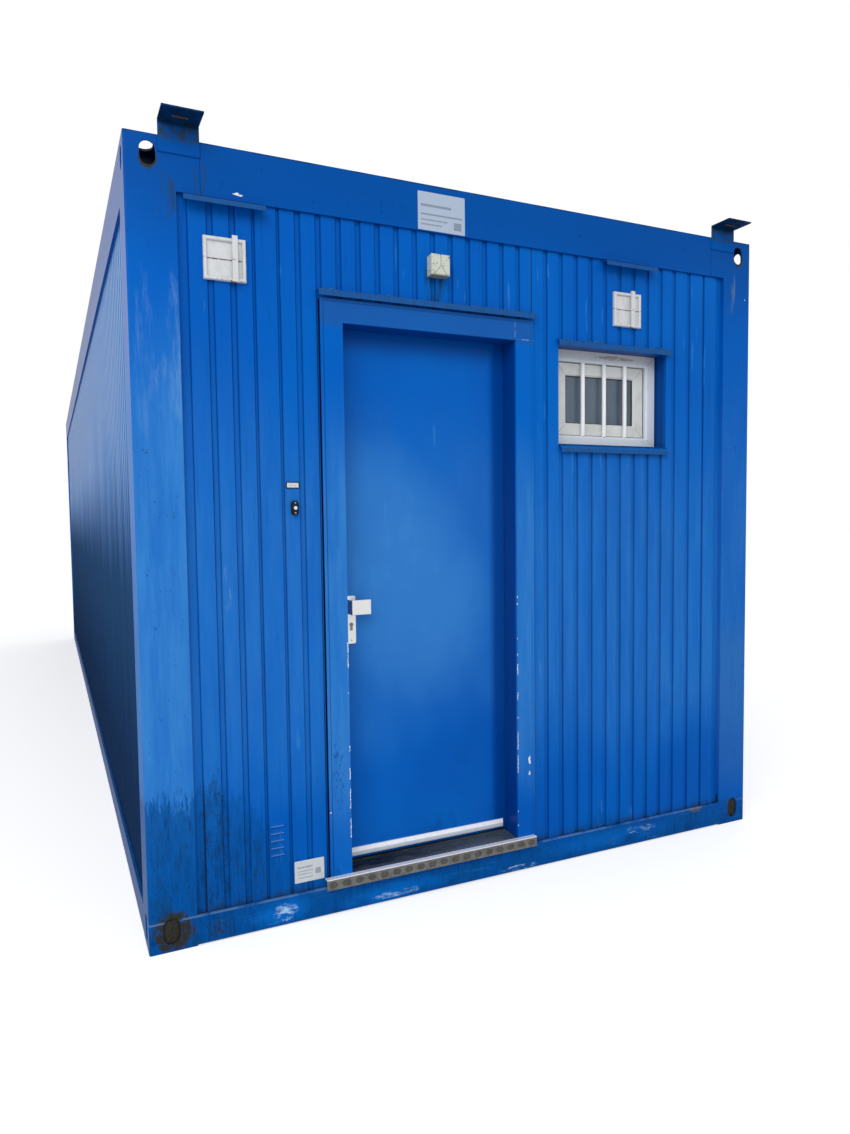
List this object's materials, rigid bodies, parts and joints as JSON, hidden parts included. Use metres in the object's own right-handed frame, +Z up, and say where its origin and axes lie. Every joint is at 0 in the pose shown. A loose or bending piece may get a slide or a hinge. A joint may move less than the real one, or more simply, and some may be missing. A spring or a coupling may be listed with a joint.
{
  "type": "container home",
  "caption": "Long steel-framed living unit with ribbed blue walls, hollow corner fittings, an inward-opening end door, a barred window and shuttered vents.",
  "frame": {"origin": "middle of the unit's footprint, on the ground", "axes": "+Y from the door end to the rear, +X to the right seen from the door end, +Z up"},
  "size_m": [2.99, 9.355, 3.031],
  "materials": {
    "frame_paint": "gloss blue paint, scuffed",
    "panel_paint": "gloss blue paint on pressed sheet",
    "door_paint": "smooth gloss blue paint",
    "galvanised": "dull galvanised sheet",
    "steel": "brushed steel",
    "sill": "dark blue-grey coated sheet",
    "floor": "covered floor board",
    "lining": "pale ceiling lining",
    "white_plastic": "white window plastic, weathered",
    "cream_plastic": "aged cream plastic",
    "black_plastic": "black plastic",
    "white_enamel": "white enamelled bar",
    "glass": "window glass"
  },
  "bodies": {
    "cabin": {"top_fitting_front_left": "frame_paint", "bottom_fitting_front_left": "frame_paint", "top_fitting_front_right": "frame_paint", "bottom_fitting_front_right": "frame_paint", "top_fitting_rear_left": "frame_paint", "bottom_fitting_rear_left": "frame_paint", "top_fitting_rear_right": "frame_paint", "bottom_fitting_rear_right": "frame_paint", "corner_posts": "frame_paint", "base_beams": "frame_paint", "roof_beams": "frame_paint", "floor_joists": "galvanised", "floor_underside": "galvanised", "floor_deck": "floor", "ceiling_panel": "lining", "roof_joists": "galvanised", "roof_sheet": "galvanised", "front_wall_left": "panel_paint", "front_wall_over_door": "panel_paint", "front_wall_middle": "panel_paint", "front_wall_under_window": "panel_paint", "front_wall_over_window": "panel_paint", "front_wall_right": "panel_paint", "rear_wall": "panel_paint", "left_wall": "panel_paint", "right_wall": "panel_paint", "door_frame": "door_paint", "door_sill": "sill", "door_step": "steel", "hinge_pins": "steel", "window_frame": "white_plastic", "window_sash": "white_plastic", "window_glass": "glass", "window_bars": "white_enamel", "window_sill": "panel_paint", "rain_hoods": "panel_paint", "vent_frames": "white_plastic", "vent_blades": "white_plastic", "vent_link_bars": "white_plastic", "junction_box": "cream_plastic", "bell_housing": "black_plastic", "roof_brackets": "frame_paint"},
    "door": {"door_leaf": "door_paint", "weather_bar": "white_enamel", "hinge_leaves": "steel", "outer_lock_plate": "steel", "door_knob": "steel", "inner_lock_plate": "steel", "inner_lever": "steel"},
    "bell_push": {"bell_button": "white_plastic"}
  },
  "joints": [
    {"name": "door_swing", "type": "hinge", "parent": "cabin", "child": "door", "pos_m": [0.112, -4.407, 1.28], "axis": [0, 0, -1], "range_deg": [0, 100]},
    {"name": "bell_press", "type": "slide", "parent": "cabin", "child": "bell_push", "axis": [0, 1, 0], "range_m": [0, 0.002], "stiffness_N_per_m": 400}
  ]
}
